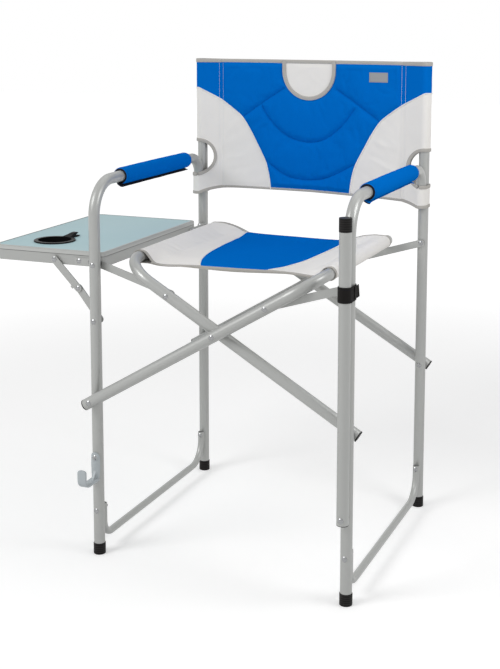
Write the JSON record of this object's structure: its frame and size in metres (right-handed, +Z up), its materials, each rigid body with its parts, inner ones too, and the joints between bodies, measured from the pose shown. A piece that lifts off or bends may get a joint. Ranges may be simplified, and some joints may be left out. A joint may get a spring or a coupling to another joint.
{
  "type": "folding director chair",
  "caption": "Tall folding director chair with fabric seat and back, padded arms, fold-down side table with cup holder and swing-down footrest bar.",
  "frame": {"origin": "middle of the footprint box on the floor", "axes": "+Z up, +Y to the rear of the chair, +X to the sitter's left"},
  "size_m": [0.8925, 0.6604, 1.0909],
  "materials": {
    "tube": "satin anodised",
    "bars": "satin",
    "rivets": "bright",
    "black_plastic": "matte",
    "grey_plastic": "matte",
    "blue_pad": "woven, padded",
    "grey_cloth": "woven",
    "strap": "webbing",
    "table_top": "smooth",
    "table_frame": "satin",
    "cup": "gloss"
  },
  "bodies": {
    "left_frame": {"left_leg_arm_tube": "tube", "left_rear_post": "tube", "left_front_foot": "black_plastic", "left_rear_foot": "black_plastic", "left_stretcher": "tube", "left_frame_rivets": "rivets", "left_pivot_washers": "black_plastic", "left_arm_pad": "blue_pad", "footrest_hook": "grey_plastic", "left_back_sleeve": "grey_cloth", "back_panel": "grey_cloth"},
    "right_frame": {"right_leg_arm_tube": "tube", "right_rear_post": "tube", "right_front_foot": "black_plastic", "right_rear_foot": "black_plastic", "right_stretcher": "tube", "right_frame_rivets": "rivets", "right_pivot_washers": "black_plastic", "right_arm_pad": "blue_pad", "right_back_sleeve": "grey_cloth", "strap_back": "strap"},
    "cross_right": {"right_cross_tube": "tube", "right_cross_plugs": "black_plastic", "right_cross_rivets": "rivets", "right_cross_washers": "black_plastic", "seat_right_sleeve": "grey_cloth", "seat_panel": "grey_cloth"},
    "cross_left": {"left_cross_tube": "tube", "left_cross_plugs": "black_plastic", "left_cross_rivets": "rivets", "seat_left_sleeve": "grey_cloth"},
    "left_links": {"front_left_link": "bars", "rear_left_link": "bars"},
    "right_links": {"front_right_link": "bars", "rear_right_link": "bars"},
    "footrest": {"footrest_bar": "tube", "footrest_cap": "black_plastic", "footrest_insert": "black_plastic", "strap_front": "strap"},
    "table": {"table_panel": "table_top", "table_rim": "table_frame", "table_front_bracket": "bars", "table_rear_bracket": "bars", "table_rivets": "rivets", "cup_holder": "cup", "cup_tab": "cup"},
    "brace_upper": {"upper_brace_bar": "bars", "knee_rivet": "rivets"},
    "brace_lower": {"lower_brace_bar": "bars"}
  },
  "joints": [
    {"name": "fold", "type": "hinge", "parent": "left_frame", "child": "cross_right", "pos_m": [-0.16625, -0.28265, 0.36], "axis": [0, -1, 0], "range_deg": [0, 45], "deforming": ["back_panel", "seat_panel"]},
    {"name": "cross", "type": "hinge", "parent": "cross_right", "child": "cross_left", "pos_m": [0.12975, -0.28265, 0.53692], "axis": [0, -1, 0], "range_deg": [-90, 0]},
    {"name": "right_side", "type": "hinge", "parent": "cross_left", "child": "right_frame", "pos_m": [0.42575, -0.28265, 0.36], "axis": [0, -1, 0], "range_deg": [0, 45]},
    {"name": "left_link_swing", "type": "hinge", "parent": "left_frame", "child": "left_links", "pos_m": [-0.16625, -0.25465, 0.662], "axis": [0, -1, 0], "range_deg": [0, 90.16]},
    {"name": "right_link_swing", "type": "hinge", "parent": "right_frame", "child": "right_links", "pos_m": [0.42575, -0.28265, 0.662], "axis": [0, -1, 0], "range_deg": [-90.16, 0]},
    {"name": "footrest_swing", "type": "hinge", "parent": "right_frame", "child": "footrest", "pos_m": [0.42575, -0.31065, 0.1945], "axis": [0, -1, 0], "range_deg": [0, 90]},
    {"name": "table_drop", "type": "hinge", "parent": "left_frame", "child": "table", "pos_m": [-0.16625, -0.25465, 0.662], "axis": [0, -1, 0], "range_deg": [0, 90]},
    {"name": "lower_brace_swing", "type": "hinge", "parent": "left_frame", "child": "brace_lower", "pos_m": [-0.16625, -0.25465, 0.536], "axis": [0, -1, 0], "range_deg": [0, 57.41]},
    {"name": "upper_brace_swing", "type": "hinge", "parent": "table", "child": "brace_upper", "pos_m": [-0.27825, -0.25465, 0.663], "axis": [0, -1, 0], "range_deg": [-209.45, 0]}
  ],
  "couplings": [
    {"joint": "cross", "follows": "fold", "ratio": -2},
    {"joint": "right_side", "follows": "fold", "ratio": 1},
    {"joint": "left_link_swing", "follows": "fold", "ratio": 2.0036},
    {"joint": "right_link_swing", "follows": "fold", "ratio": -2.0036},
    {"joint": "lower_brace_swing", "follows": "table_drop", "ratio": 0.63785},
    {"joint": "upper_brace_swing", "follows": "table_drop", "ratio": -2.3272}
  ]
}
